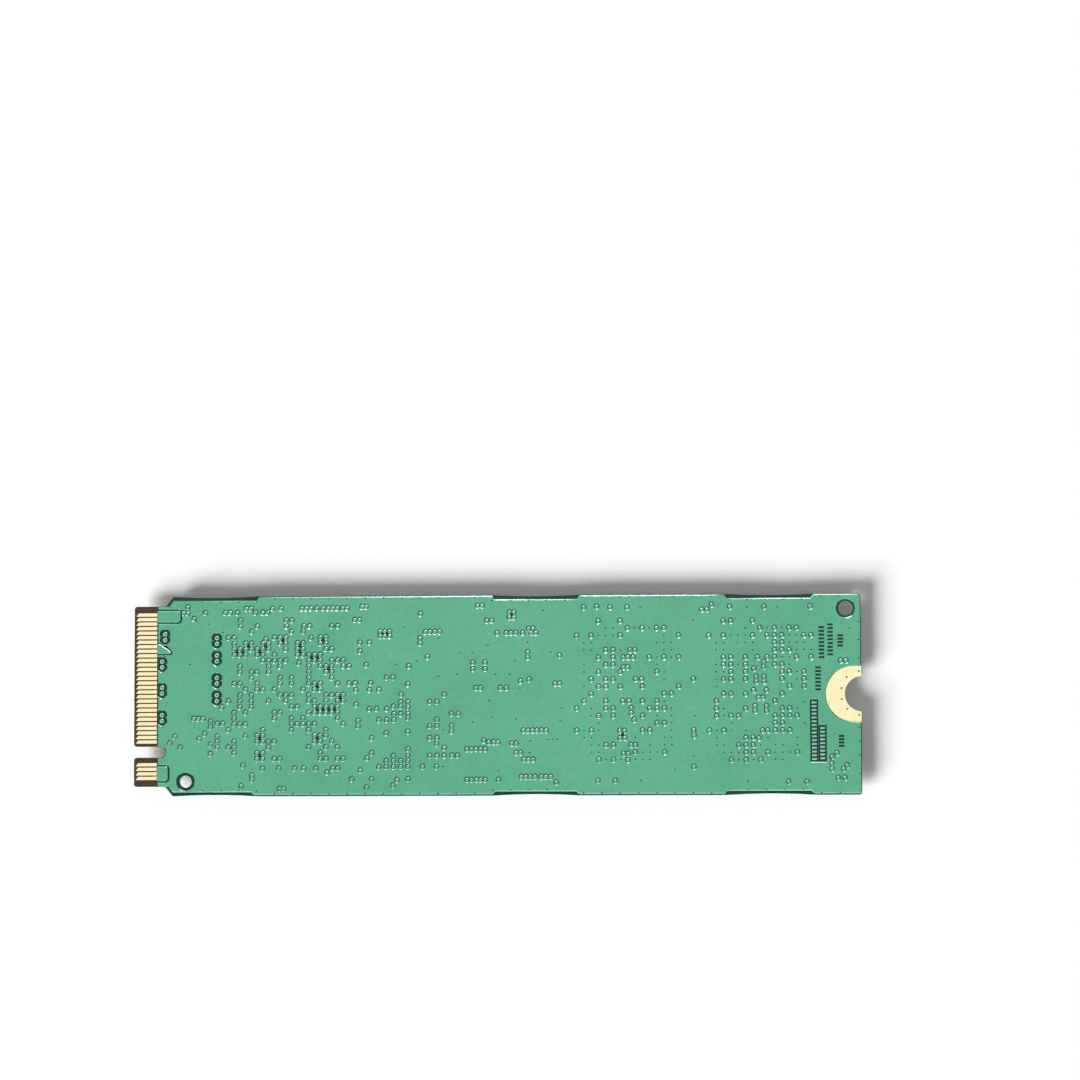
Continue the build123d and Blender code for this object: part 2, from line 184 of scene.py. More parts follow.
# Vias outside those fields: place across, then places along
LOOSE_VIAS = (
    (9.85, (5.95, 38.0, 38.5, 63.7)), (9.8, (25.25, 25.7)), (9.7, (51.1,)),
    (9.65, (12.45, 12.95, 15.35, 16.3, 18.6, 19.1, 19.6, 20.25, 20.95, 21.5, 22.0, 22.5, 23.1, 23.6)),
    (9.6, (49.67, 52.57, 54.45, 65.7, 69.45, 74.5)), (9.3, (62.65, 63.2)),
    (9.2, (5.45, 5.95, 7.9, 10.1, 10.65, 11.45, 13.45, 14.25, 14.8)), (9.1, (41.5, 42.0)),
    (9.0, (31.7,)), (8.55, (6.65, 41.5, 42.0)), (8.35, (11.8, 16.85, 17.5, 24.45, 24.95)),
    (8.2, (39.0, 39.55)), (7.7, (11.8, 13.65, 16.9, 18.8, 19.45, 21.9, 22.55)),
    (7.3, (43.6, 44.1)), (7.1, (13.05, 17.45, 18.75)), (7.05, (27.25, 27.75, 28.3)),
    (7.0, (32.25, 32.75, 33.3, 33.8)), (6.85, (40.15, 41.15, 41.67, 42.2, 42.95, 43.9, 44.4)),
    (6.55, (27.25, 27.75, 28.3)), (6.4, (19.6,)), (6.3, (14.6, 31.65)), (5.85, (25.0, 26.05)),
    (5.75, (31.65,)), (4.9, (25.0, 54.75, 55.27)), (4.7, (43.5,)), (4.35, (47.0,)),
    (4.25, (32.45,)), (4.15, (43.5,)), (4.1, (54.0, 54.5, 55.07)), (4.05, (68.7, 69.75)),
    (3.65, (18.25, 77.8, 78.35)), (3.6, (37.45, 38.8)), (3.5, (69.4,)), (3.4, (25.7,)),
    (3.25, (30.4,)), (3.0, (54.0, 54.47, 69.37)), (2.9, (37.45, 38.8)), (2.8, (68.3,)),
    (2.0, (27.95, 28.65)), (1.9, (68.55, 69.4)), (1.72, (43.65, 55.35, 56.0)), (1.55, (42.7,)),
    (1.4, (24.5, 26.2, 68.55, 69.4)), (1.25, (30.3, 46.5, 47.0)),
    (0.8, (37.8, 38.3, 40.5, 41.15)), (0.65, (24.55, 26.05, 27.1)), (0.45, (68.25, 69.65)),
    (0.1, (29.55, 34.3)), (-0.35, (68.8, 69.27)), (-0.7, (29.5, 30.3, 32.7, 33.5, 53.93, 54.6)),
    (-0.95, (24.6,)), (-1.2, (9.75, 28.7, 29.5)), (-1.3, (30.3, 68.4, 69.65)),
    (-1.45, (26.05, 26.85, 27.95, 54.85)), (-1.8, (68.4, 69.65)),
    (-2.0, (28.75, 29.5, 30.3, 35.1, 35.85, 54.85)), (-2.45, (6.65, 7.15, 7.65, 30.3)),
    (-2.65, (27.1, 27.95, 28.75, 33.5)), (-2.75, (8.5, 24.8, 55.15)), (-3.0, (9.25, 9.85)),
    (-3.35, (8.5, 24.8, 32.7, 33.5, 35.1)), (-3.87, (43.0, 43.5, 44.0, 44.5, 45.0, 45.5)),
    (-3.95, (30.3, 35.1, 53.6, 54.1, 69.2, 69.77)), (-4.12, (7.85, 27.9)), (-4.4, (4.55, 9.25)),
    (-4.5, (61.72,)), (-4.65, (7.25, 26.3, 32.7, 33.5)), (-4.72, (53.62, 54.15)),
    (-4.8, (68.8,)), (-4.95, (9.25, 38.65)), (-5.15, (4.0, 39.2, 39.75, 40.2)),
    (-5.3, (8.5, 33.45, 41.7, 42.2)), (-5.5, (54.8, 55.3)), (-5.6, (5.15, 9.25)),
    (-5.75, (34.3,)), (-5.9, (30.3, 36.8, 37.3, 37.8, 38.3, 38.8)), (-6.3, (8.5, 26.3, 42.2, 42.7)),
    (-6.27, (55.25,)), (-6.45, (53.97, 54.5, 77.3)),
    (-6.6, (28.7, 30.3, 32.7, 33.5, 34.3, 35.15, 35.75)), (-6.85, (25.8, 76.75)),
    (-7.05, (43.05, 43.55, 44.05)), (-7.15, (27.9, 28.7, 29.5, 30.3, 54.45)),
    (-7.6, (12.1, 76.72)), (-7.8, (27.1, 27.9, 28.7, 29.5, 30.3, 31.9, 33.45, 78.4)),
    (-7.95, (14.25, 16.05, 17.8, 18.8, 20.15, 22.0, 22.55)), (-8.2, (25.05, 76.75, 78.0)),
    (-8.4, (21.4,)), (-8.7, (13.1,)), (-8.95, (42.75, 43.25, 43.75, 44.27, 44.95, 45.45, 45.97)),
    (-9.15, (13.1, 24.1, 26.3, 30.3, 77.4, 78.15)),
    (-9.25, (29.1, 36.8, 37.3, 37.85, 38.3, 38.8, 40.25)), (-9.4, (51.15, 53.05)),
    (-9.55, (46.6, 72.0, 74.0)), (-9.85, (11.9, 28.65)), (-10.05, (25.75,)),
    (-10.2, (16.15, 16.6)),
)

# Pairs of the data lanes: place along, then the pairs' middles across
LANE_PAIRS = ((3.42, (6.55,)), (3.1, (3.53, 0.64, -2.37)), (9.17, (6.1, 4.18, 1.71, -0.2)))

# Small closed vias that tie the ground copper together, laid out as the via fields are
NAND_1_DOTS = (48.87, 8.1, 0.8, (
    (), (4, 5, 8, 10), (3, 4, 5, 12), (1, 2, 11, 12, 13), (1, 2, 6, 12, 13), (11, 13), (1, 11),
    (1, 12), (12,), (1,), (), (12,), (2, 13), (2, 11, 13), (3, 13), (1, 3, 13), (1, 2, 8, 12, 13),
    (2, 3, 10, 12, 13), (2, 3, 9, 10, 11), (4, 6, 8, 9, 10),
))
NAND_2_DOTS = (61.78, 8.05, 0.8, (
    (), (7, 10, 12), (5, 6, 7, 13, 14), (3, 4, 6, 7, 8, 13, 14, 15), (3, 4, 8, 14, 15, 16),
    (12, 13), (3, 6, 13), (3, 4, 14), (3, 14), (3,), (), (), (4, 14), (0, 4), (5,), (3, 5, 7, 9),
    (3, 10, 14), (3, 4, 9, 11, 12, 14), (4, 5, 6, 11, 12, 13), (6, 8, 11, 12),
))
LOOSE_DOTS = (
    (8.27, 7.95), (9.82, 7.05), (6.2, 3.5), (29.9, 7.5), (33.7, 6.3), (31.3, 3.8), (33.65, 2.1),
    (36.1, 4.7), (37.4, 4.7), (39.1, 5.5), (35.7, 2.35), (39.95, 2.3), (41.5, 2.3), (39.25, -0.6),
    (39.6, -2.4), (37.45, -2.95), (34.2, -3.8), (34.2, -7.8), (40.2, -8.3), (43.5, 5.8),
    (42.1, 3.75), (46.0, 4.7), (42.65, 0.75), (47.2, -1.45), (42.2, -2.6), (47.05, -2.85),
    (45.7, -4.85), (46.2, -4.85), (46.7, -4.85), (43.75, -5.0), (43.65, -6.3), (45.2, 9.3),
    (55.9, 9.6), (61.65, 8.15), (67.55, 9.55), (70.9, 9.55), (78.8, 7.2), (73.8, -0.85),
    (73.8, -3.2), (59.6, -8.25), (55.85, -9.4), (67.55, -9.5), (61.7, -6.75), (29.0, 3.4),
    (9.19, 5.14), (9.19, 0.755),
)

# Rows of the same vias along the long edges, further in where the copper keeps back, and along
# the screw end
EDGE_DOT_FIRST = 7.6
EDGE_DOT_LIMIT = 78.5
EDGE_DOT_PITCH = 2.0
EDGE_DOT_INSET = 0.25
KEEP_BACK_MIDDLES = (8.9, 44.4, 70.1)
KEEP_BACK_HALF = 5.1
KEEP_BACK_DOT_INSET = 0.36
END_DOT_ROWS = (7.9, 5.9, 3.9, -3.7, -5.2, -6.7, -8.7)

# Plain marks near the screw end, dark dashes etched in columns and raised ticks in the two
# windows: place along, first place across, how many, pitch
DASH_COLUMNS = ((75.7, 7.3, 9, 0.41), (76.65, 7.6, 9, 0.41), (77.75, 6.4, 4, 0.37),
                (75.3, 2.9, 7, 0.4), (77.8, -4.6, 4, 0.36))
DASH_LENGTH = 0.56
DASH_WIDTH = 0.19
DASH_LEAN = 0.03
TICK_COLUMNS = ((74.84, -0.92, 16, 0.412), (75.74, -3.72, 9, 0.412))
TICK_LENGTH = 0.56
TICK_WIDTH = 0.24
TICK_LEAN = -0.03
TICK_DROP = 0.002

# Tiny vias in the gold screw pad: places along and across
PAD_VIAS = ((79.75, 2.47), (78.42, 1.82), (77.83, 0.62), (77.85, -0.58), (78.45, -1.66), (79.75, -2.32))
PAD_VIA_TOP_RADIUS = 0.132
PAD_VIA_FLOOR_RADIUS = 0.088
PAD_VIA_DEPTH_SHARE = 0.5
PAD_VIA_SIDES = 10

# Rounded edges of contacts and packages, the dimple in a package's cap, and the solder balls,
# which are stretched a little so that they sink into what they join
SHARP_FROM = 35.0
ROUND_SEGMENTS = 2
FINGER_ROUND = 0.025
CAP_ROUND = 0.04
PACKAGE_BASE_ROUND = 0.03
DIMPLE_FLOOR_RISE = 0.03
BALL_STRETCH = 1.04

# Glass cloth and layers of the laminate
WEAVE_PITCH = 0.62
LAYER_PITCH = 0.12
BROWN_MARGIN = 0.06
FACE_MARGIN = 0.005

# Camera that sees the card from above, fitted to the card's corners; its turns are in degrees
CAMERA_LENS = 100.0
CAMERA_PLACE = (17.432, -4.284, 331.729)
CAMERA_TURN = (3.6942, 2.1919, -0.207)

# Light: a soft key from the contact end, a small lamp beyond the far edge that only glints, one
# below that only lights the chip side, and the room
KEY_TRAVEL = (1.15, 1.07, -1.0)
KEY_STRENGTH = 4.47
KEY_ANGLE = 32.0
GLINT_PLACE = (0.0, 150.0, 205.0)
GLINT_SIZE = (100.0, 26.0)
GLINT_POWER = 1.0
GLINT_TINT = (0.72, 1.0, 0.88, 1.0)
UNDER_STRENGTH = 2.4
UNDER_ANGLE = 40.0
ROOM_FILL = 0.235

# Floor: its reach, the hair by which it lies under the card, its white and its lift
FLOOR_REACH = 1500.0
FLOOR_DROP = 0.01
FLOOR_WHITE = (0.95, 0.95, 0.95, 1.0)
FLOOR_LIFT = 0.07


def srgb(red, green, blue):
    """A colour given by its screen values, as the shader's linear colour."""
    return tuple((c / 255 / 12.92 if c <= 10 else ((c / 255 + 0.055) / 1.055) ** 2.4)
                 for c in (red, green, blue)) + (1.0,)


def fill_inputs(tree, made, values):
    """Gives a shader node's inputs their values or links."""
    for key, value in values.items():
        if isinstance(value, bpy.types.NodeSocket):
            tree.links.new(value, made.inputs[key])
        else:
            made.inputs[key].default_value = value


def add_node(tree, kind, values=None, **settings):
    """A shader node with its settings, its values and its links made at once."""
    made = tree.nodes.new(kind)
    for key, value in settings.items():
        setattr(made, key, value)
    fill_inputs(tree, made, values or {})
    return made


def mix_colour(tree, factor, first, second):
    """Socket of a colour between two colours."""
    made = add_node(tree, "ShaderNodeMix", {0: factor, 6: first, 7: second}, data_type="RGBA")
    return made.outputs[2]


def maths(tree, operation, first, second=0.0, third=0.5):
    """Socket of a sum done on two or three values."""
    values = {0: first, 1: second, 2: third}
    return add_node(tree, "ShaderNodeMath", values, operation=operation).outputs[0]


def object_place(tree):
    """Socket of the place on the piece, in metres."""
    return add_node(tree, "ShaderNodeTexCoord").outputs["Object"]


def effect(name, inputs, outputs):
    """An empty shader node group with its sockets, its input node and its output node."""
    tree = bpy.data.node_groups.new(name, "ShaderNodeTree")
    for label, kind, value in inputs:
        tree.interface.new_socket(label, in_out="INPUT", socket_type=kind).default_value = value
    for label, kind in outputs:
        tree.interface.new_socket(label, in_out="OUTPUT", socket_type=kind)
    return tree, tree.nodes.new("NodeGroupInput").outputs, tree.nodes.new("NodeGroupOutput").inputs


def make_colour_drift():
    """Cloudy change from one colour to another, in patches of the size given in millimetres."""
    tree, given, result = effect(
        "colour_drift",
        (("Base", "NodeSocketColor", (0.5, 0.5, 0.5, 1.0)),
         ("Drift", "NodeSocketColor", (0.5, 0.5, 0.5, 1.0)),
         ("Size", "NodeSocketFloat", 5.0),
         ("Amount", "NodeSocketFloat", 0.5)),
        (("Color", "NodeSocketColor"),),
    )
    scale = maths(tree, "DIVIDE", 1 / MM, given["Size"])
    cloud = add_node(tree, "ShaderNodeTexNoise", {
        "Vector": object_place(tree), "Scale": scale, "Detail": 4.0, "Roughness": 0.62})
    spread = add_node(tree, "ShaderNodeMapRange", {
        "Value": cloud.outputs[0], "From Min": 0.32, "From Max": 0.68, "To Max": given["Amount"]})
    tree.links.new(mix_colour(tree, spread.outputs[0], given["Base"], given["Drift"]), result["Color"])
    return tree


def make_fine_grain():
    """Fine uneven skin: a roughness between two limits, and a height for a bump."""
    tree, given, result = effect(
        "fine_grain",
        (("Size", "NodeSocketFloat", 0.2),
         ("Smooth", "NodeSocketFloat", 0.3),
         ("Rough", "NodeSocketFloat", 0.5)),
        (("Roughness", "NodeSocketFloat"), ("Height", "NodeSocketFloat")),
    )
    scale = maths(tree, "DIVIDE", 1 / MM, given["Size"])
    grain = add_node(tree, "ShaderNodeTexNoise", {
        "Vector": object_place(tree), "Scale": scale, "Detail": 3.0, "Roughness": 0.55})
    spread = add_node(tree, "ShaderNodeMapRange", {
        "Value": grain.outputs[0], "From Min": 0.3, "From Max": 0.7,
        "To Min": given["Smooth"], "To Max": given["Rough"]})
    tree.links.new(spread.outputs[0], result["Roughness"])
    tree.links.new(grain.outputs[0], result["Height"])
    return tree


def make_glass_weave():
    """Plain weave of the glass cloth in the laminate: a mask of crossing threads."""
    tree, given, result = effect(
        "glass_weave", (("Pitch", "NodeSocketFloat", 0.5),), (("Mask", "NodeSocketFloat"),))
    place = add_node(tree, "ShaderNodeSeparateXYZ", {0: object_place(tree)})
    turn = maths(tree, "DIVIDE", math.tau / MM, given["Pitch"])
    warp = maths(tree, "SINE", maths(tree, "MULTIPLY", place.outputs[0], turn))
    weft = maths(tree, "SINE", maths(tree, "MULTIPLY", place.outputs[1], turn))
    crossing = maths(tree, "MULTIPLY", warp, weft)
    tree.links.new(maths(tree, "MULTIPLY_ADD", crossing, 0.5, 0.5), result["Mask"])
    return tree


COLOUR_DRIFT = make_colour_drift()
FINE_GRAIN = make_fine_grain()
GLASS_WEAVE = make_glass_weave()


def group_node(tree, group, values):
    """Outputs of a node group placed in a material with its own values."""
    made = tree.nodes.new("ShaderNodeGroup")
    made.node_tree = group
    fill_inputs(tree, made, values)
    return made.outputs


def drift(tree, base, other, size, amount):
    """Socket of a colour that drifts between two."""
    values = {"Base": base, "Drift": other, "Size": size, "Amount": amount}
    return group_node(tree, COLOUR_DRIFT, values)["Color"]


def blank_material(name):
    """A material with its node tree and its principled shader."""
    material = bpy.data.materials.new(name)
    material.use_nodes = True
    return material, material.node_tree, material.node_tree.nodes["Principled BSDF"]


def skin(tree, shader, size, smooth, rough, depth, extra_height=None):
    """Gives a shader the fine grain: its roughness, and a bump as deep as the millimetres given."""
    grain = group_node(tree, FINE_GRAIN, {"Size": size, "Smooth": smooth, "Rough": rough})
    tree.links.new(grain["Roughness"], shader.inputs["Roughness"])
    height = grain["Height"]
    if extra_height is not None:
        height = maths(tree, "ADD", height, extra_height)
    bump = add_node(tree, "ShaderNodeBump", {"Height": height, "Strength": 1.0, "Distance": depth * MM})
    tree.links.new(bump.outputs[0], shader.inputs["Normal"])


def plain_finish(name, base, other, size, amount, grain, smooth, rough, depth, metallic=0.0):
    """A finish with drifting colour and a fine grain."""
    material, tree, shader = blank_material(name)
    tree.links.new(drift(tree, base, other, size, amount), shader.inputs["Base Color"])
    shader.inputs["Metallic"].default_value = metallic
    skin(tree, shader, grain, smooth, rough, depth)
    return material


def mask_finish(name, base, other, deep, pale, weave_strength, shine=0.5):
    """Green mask: cloudy colour, faint pale residue, and the weave showing through."""
    material, tree, shader = blank_material(name)
    cloudy = drift(tree, base, other, size=7.0, amount=0.8)
    mottled = drift(tree, cloudy, deep, size=0.55, amount=0.22)
    fine = drift(tree, mottled, pale, size=0.35, amount=0.14)
    weave = group_node(tree, GLASS_WEAVE, {"Pitch": WEAVE_PITCH})["Mask"]
    residue = add_node(tree, "ShaderNodeTexNoise", {
        "Vector": object_place(tree), "Scale": 160.0, "Detail": 6.0, "Roughness": 0.7,
        "Distortion": 0.6})
    patch = add_node(tree, "ShaderNodeMapRange", {
        "Value": residue.outputs[0], "From Min": 0.62, "From Max": 0.8, "To Max": 0.35})
    stained = mix_colour(tree, patch.outputs[0], fine, pale)
    woven = mix_colour(tree, maths(tree, "MULTIPLY", weave, weave_strength), stained, pale)
    tree.links.new(woven, shader.inputs["Base Color"])
    shader.inputs["Specular Tint"].default_value = GLINT_TINT
    shader.inputs["Specular IOR Level"].default_value = shine
    threads = maths(tree, "MULTIPLY", weave, 0.5)
    skin(tree, shader, size=0.25, smooth=0.24, rough=0.34, depth=0.0012, extra_height=threads)
    return material


def laminate_finish():
    """Laminate: brown on the bare tab, under dark mask elsewhere, layered along its cut edges."""
    material, tree, shader = blank_material("card_laminate")
    place = add_node(tree, "ShaderNodeSeparateXYZ", {0: object_place(tree)})
    masked = drift(tree, srgb(10, 54, 40), srgb(5, 42, 32), size=3.0, amount=0.9)
    weave = group_node(tree, GLASS_WEAVE, {"Pitch": WEAVE_PITCH})["Mask"]
    brown = mix_colour(tree, weave, srgb(58, 36, 28), srgb(78, 56, 46))
    tab = maths(tree, "LESS_THAN", place.outputs[0], (CONTACT_END + BROWN_MARGIN) * MM)
    surface = mix_colour(tree, tab, masked, brown)
    height = maths(tree, "MULTIPLY", place.outputs[2], math.tau / (LAYER_PITCH * MM))
    layers = maths(tree, "MULTIPLY_ADD", maths(tree, "SINE", height), 0.4, 0.5)
    resin = mix_colour(tree, layers, srgb(38, 34, 26), srgb(60, 58, 42))
    edge_brown = drift(tree, srgb(48, 36, 31), srgb(66, 50, 42), size=0.4, amount=0.8)
    cut_edge = mix_colour(tree, tab, resin, edge_brown)
    above = maths(tree, "GREATER_THAN", place.outputs[2], (LAMINATE_BASE + FACE_MARGIN) * MM)
    below = maths(tree, "LESS_THAN", place.outputs[2], (LAMINATE_TOP - FACE_MARGIN) * MM)
    wall = maths(tree, "MULTIPLY", above, below)
    tree.links.new(mix_colour(tree, wall, surface, cut_edge), shader.inputs["Base Color"])
    shader.inputs["Specular IOR Level"].default_value = 0.2
    threads = maths(tree, "MULTIPLY", weave, 0.4)
    skin(tree, shader, size=0.18, smooth=0.28, rough=0.5, depth=0.002, extra_height=threads)
    return material


# Green mask over copper, over laminate, over lands and on etched walls: two colours that drift into
# each other, a deep and a pale one, how far the weave shows, and the shine. The laminate shade is
# also painted shade on copper walls that face away from the lamp and a painted dark line along the
# low edge, the land shade is also a painted highlight along the low edge, and the wall shade is
# painted shade on clearance walls and on the low sides of lands, and the darker middle of a land
MASK_ON_COPPER = mask_finish(
    "mask_on_copper", srgb(78, 163, 125), srgb(90, 175, 138), srgb(56, 142, 103), srgb(144, 202, 174), 0.03)
# Pale mask over lands and ticks, also a painted highlight along the card's low edge
MASK_ON_LAND_AND_HIGHLIGHT = mask_finish(
    "mask_on_land_and_painted_highlight", srgb(122, 184, 158), srgb(146, 200, 178), srgb(98, 166, 138), srgb(176, 216, 198), 0.0)
# Dark mask over bare laminate, also painted shade on copper walls that face away from the lamp and a
# painted dark line along the low edge
MASK_ON_LAMINATE_AND_SHADE = mask_finish(
    "mask_on_laminate_and_painted_shade", srgb(12, 56, 44), srgb(20, 66, 52), srgb(6, 40, 30), srgb(70, 116, 98), 0.03, 0.2)
# Painted shade on clearance walls and on the low sides of via lands, and the darker middle over a via's
# hole
MASK_ON_HOLE_AND_SHADE = mask_finish(
    "mask_on_hole_and_painted_shade", srgb(44, 100, 80), srgb(54, 110, 90), srgb(34, 88, 68), srgb(64, 118, 98), 0.0, 0.3)
MASK_SHADES = (MASK_ON_COPPER, MASK_ON_LAMINATE_AND_SHADE, MASK_ON_LAND_AND_HIGHLIGHT, MASK_ON_HOLE_AND_SHADE)
# Shades of a copper field: even, dark over laminate and as painted shade, a painted highlight along the low
# edge, and painted shade on clearance walls
EVEN, DARK, PAINTED_HIGHLIGHT, SHADED_WALL = range(len(MASK_SHADES))
LAMINATE = laminate_finish()

# Plain finishes: two colours, size and strength of their patches, size of the grain, least and
# greatest roughness, depth of the grain, and metal where it is one
METAL = 1.0
# Darker brown gold on the contacts' sides, painted shade
GOLD_SIDE_SHADE = plain_finish("gold_plate_side_painted_shade", srgb(150, 112, 62), srgb(186, 150, 92),
                         0.4, 0.9, 0.06, 0.5, 0.65, 0.001, METAL)
GOLD = plain_finish("gold_plate", srgb(249, 235, 180), srgb(253, 244, 202),
                    0.5, 0.9, 0.09, 0.12, 0.2, 0.0012, METAL)
PAD_HOLE = plain_finish("pad_via_fill", srgb(70, 62, 40), srgb(44, 52, 40),
                        0.1, 0.8, 0.05, 0.4, 0.6, 0.001)
BLACK_MOULD = plain_finish("black_mould", srgb(40, 40, 41), srgb(51, 51, 52),
                           1.6, 0.8, 0.06, 0.45, 0.62, 0.004)
DIMPLE_MOULD = plain_finish("dimple_mould", srgb(70, 70, 72), srgb(82, 82, 83),
                            0.4, 0.8, 0.08, 0.5, 0.66, 0.003)
PACKAGE_BASE = plain_finish("package_base", srgb(52, 92, 62), srgb(66, 106, 72),
                            1.2, 0.8, 0.1, 0.35, 0.5, 0.002)
SOLDER = plain_finish("solder", srgb(196, 198, 200), srgb(168, 170, 174),
                      0.3, 0.8, 0.06, 0.22, 0.38, 0.003, METAL)
TIN = plain_finish("tinned_ends", srgb(206, 206, 204), srgb(178, 178, 178),
                   0.25, 0.8, 0.07, 0.26, 0.42, 0.004, METAL)
FERRITE = plain_finish("ferrite", srgb(74, 74, 77), srgb(92, 92, 94),
                       0.3, 0.8, 0.05, 0.5, 0.7, 0.006)
CRYSTAL_CERAMIC = plain_finish("crystal_ceramic", srgb(54, 50, 48), srgb(68, 64, 60),
                               0.5, 0.8, 0.06, 0.4, 0.55, 0.003)
CRYSTAL_CAN = plain_finish("crystal_can", srgb(212, 206, 186), srgb(196, 190, 172),
                           0.6, 0.7, 0.1, 0.2, 0.34, 0.002, METAL)
CAPACITOR_TAN = plain_finish("capacitor_tan", srgb(158, 122, 86), srgb(138, 104, 72),
                             0.4, 0.9, 0.07, 0.34, 0.5, 0.003)
RESISTOR_BLACK = plain_finish("resistor_film", srgb(36, 36, 40), srgb(52, 52, 56),
                              0.3, 0.8, 0.06, 0.3, 0.46, 0.003)


def finish_piece(bm, name, materials, replaced=(), crease=30.0, flat_tops=False):
    """Makes the mesh a piece of the card: metres, smooth within the crease angle, riding on it."""
    bmesh.ops.scale(bm, verts=bm.verts, vec=(MM, MM, MM))
    bm.normal_update()
    rounded = [not (flat_tops and abs(face.normal.z) > LEVEL_FACE) for face in bm.faces]
    mesh = bpy.data.meshes.new(name)
    bm.to_mesh(mesh)
    bm.free()
    # Normals carried over from a CAD mesh no longer fit the new faces
    carried = mesh.attributes.get("custom_normal")
    if carried is not None:
        mesh.attributes.remove(carried)
    mesh.set_sharp_from_angle(angle=math.radians(crease))
    mesh.polygons.foreach_set("use_smooth", rounded)
    piece = bpy.data.objects.new(name, mesh)
    bpy.context.scene.collection.objects.link(piece)
    for material in materials:
        mesh.materials.append(material)
    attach(piece, "root")
    if replaced:
        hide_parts(*replaced)
    return piece


def merged_copy(node):
    """A CAD node's mesh in millimetres with its triangles joined."""
    bm = bmesh.new()
    bm.from_mesh(nodes[node].data)
    bmesh.ops.remove_doubles(bm, verts=bm.verts, dist=1e-7)
    bmesh.ops.scale(bm, verts=bm.verts, vec=(1 / MM, 1 / MM, 1 / MM))
    bm.normal_update()
    return bm


def slant_keep_backs(bm):
    """Slants the ends of the strips where the copper keeps back from the long edges."""
    for vert in bm.verts:
        if abs(vert.co.y) < LONG_EDGE - KEEP_BACK_REACH:
            continue
        for place, *corners in KEEP_BACK_ENDS:
            if abs(vert.co.x - CONTACT_EDGE - place) < KEEP_BACK_END_REACH:
                inner = abs(vert.co.y) < LONG_EDGE - KEEP_BACK_MIDDLE
                vert.co.x = CONTACT_EDGE + corners[vert.co.y > 0][inner]
    bm.normal_update()


def on_low_rim(place, normal):
    """Whether a wall belongs to the card's own low edge and not to a strip kept back from it."""
    return normal.y < 0 and place.y < LOW_RIM_BAND - LONG_EDGE


def leaning_walls(vert, along, across, rim):
    """The different walls that meet at a corner of the outline, each with how far it leans."""
    walls = []
    for face in vert.link_faces:
        normal = face.normal.xy
        if abs(face.normal.z) >= UPRIGHT_FACE:
            continue
        if any((normal - wall).length <= SAME_WALL for wall, _ in walls):
            continue
        normal = normal.normalized()
        reach = along + (across - along) * normal.y ** 2
        if abs(normal.y) > ACROSS_FACE and abs(vert.co.y) > LONG_EDGE - RIM_REACH:
            reach = min(rim, LOW_RIM_LEAN) if on_low_rim(vert.co, normal) else rim
        walls.append((normal, reach))
    return walls


def lean_walls(bm, outer_height, along, across, rim):
    """Draws a copper layer's outer outline in, so that its etched walls lean."""
    moves = []
    for vert in bm.verts:
        if abs(vert.co.z - outer_height) > HEIGHT_TOLERANCE:
            continue
        walls = leaning_walls(vert, along, across, rim)
        if not walls:
            continue
        (first, reach), (second, other_reach) = walls[0], walls[-1]
        turn = first.x * second.y - first.y * second.x
        if abs(turn) < STRAIGHT_TURN:
            move = -first * reach
        else:
            move = Vector((other_reach * first.y - reach * second.y,
                           reach * second.x - other_reach * first.x)) / turn
        moves.append((vert, move.to_3d()))
    for vert, move in moves:
        vert.co += move
    bm.normal_update()


def field_places(field):
    """Places of a via field, in the card's frame."""
    first, top, pitch, rows = field
    return [(CONTACT_EDGE + first + pitch * column, top - pitch * number)
            for number, row in enumerate(rows) for column in row]


def via_places():
    """Places of all signal vias."""
    places = [(CONTACT_EDGE + along, across) for across, row in LOOSE_VIAS for along in row]
    for field in (CONTROLLER_FIELD, NAND_1_FIELD, NAND_2_FIELD):
        places += field_places(field)
    return places


def lane_places():
    """Places of the data lanes' vias, two to a pair."""
    return [(CONTACT_EDGE + along, middle + side * LANE_PAIR_HALF)
            for along, middles in LANE_PAIRS for middle in middles for side in (-1, 1)]


def star_places(places):
    """Middles of four vias that stand so close that no copper is left between them."""
    stars = []
    for number, first in enumerate(places):
        for second in places[number + 1:]:
            if not STAR_DIAGONAL_LEAST < math.dist(first, second) < STAR_DIAGONAL_MOST:
                continue
            middle = ((first[0] + second[0]) / 2, (first[1] + second[1]) / 2)
            near = sum(math.dist(place, middle) < STAR_REACH for place in places)
            if near >= STAR_VIAS and all(math.dist(star, middle) > STAR_APART for star in stars):
                stars.append(middle)
    return stars


def dot_places():
    """Places of the small closed vias, with rows of them along the long edges and the screw end."""
    places = [(CONTACT_EDGE + along, across) for along, across in LOOSE_DOTS]
    for field in (NAND_1_DOTS, NAND_2_DOTS):
        places += field_places(field)
    for side in (-1, 1):
        along = EDGE_DOT_FIRST
        while along < EDGE_DOT_LIMIT:
            kept_back = any(abs(along - middle) < KEEP_BACK_HALF for middle in KEEP_BACK_MIDDLES)
            inset = EDGE_DOT_INSET + (KEEP_BACK_DOT_INSET if kept_back else 0.0)
            places.append((CONTACT_EDGE + along, side * (LONG_EDGE - inset)))
            along += EDGE_DOT_PITCH
    places += [(board_high.x - EDGE_DOT_INSET, across) for across in END_DOT_ROWS]
    return places


VIA_PLACES = via_places()
LANE_PLACES = lane_places()
STAR_PLACES = star_places(VIA_PLACES)
DOT_PLACES = dot_places()


def add_cone(bm, place, floor, top, floor_radius, top_radius, sides, width_share=1.0):
    """A cone stump that stands at the place given, between two heights."""
    spot = Matrix.Translation((place[0], place[1], (floor + top) / 2))
    bmesh.ops.create_cone(
        bm, cap_ends=True, cap_tris=False, segments=sides, radius1=floor_radius, radius2=top_radius,
        depth=top - floor, matrix=spot @ Matrix.Diagonal((width_share, 1.0, 1.0, 1.0)))


